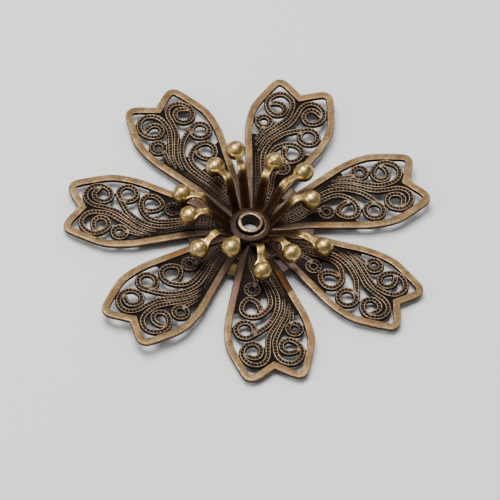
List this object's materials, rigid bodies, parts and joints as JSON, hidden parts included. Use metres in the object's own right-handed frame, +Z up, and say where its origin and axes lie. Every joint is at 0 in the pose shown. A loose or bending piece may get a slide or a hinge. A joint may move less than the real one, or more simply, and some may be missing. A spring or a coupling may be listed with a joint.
{
  "type": "filigree flower bead cap",
  "caption": "Pierced flower-shaped bead cap with rimmed filigree petals, a crown of ball-tipped stamens and a hollow centre eyelet to thread a pin or wire through.",
  "frame": {"origin": "centre of the eyelet's bore, on the surface that the eyelet's lower flange lies on", "axes": "+Z up along the bore, towards the stamens; the petals spread in the XY plane"},
  "size_m": [0.0519, 0.0519, 0.0072],
  "materials": {
    "petal_bronze": "antique patina with rubbed rims",
    "stamen_brass": "antique patina, polished balls",
    "eyelet_brass": "rubbed bright rim"
  },
  "bodies": {
    "root": {"petal_plate": "petal_bronze", "stamen_crown": "stamen_brass", "eyelet": "eyelet_brass"}
  },
  "joints": []
}
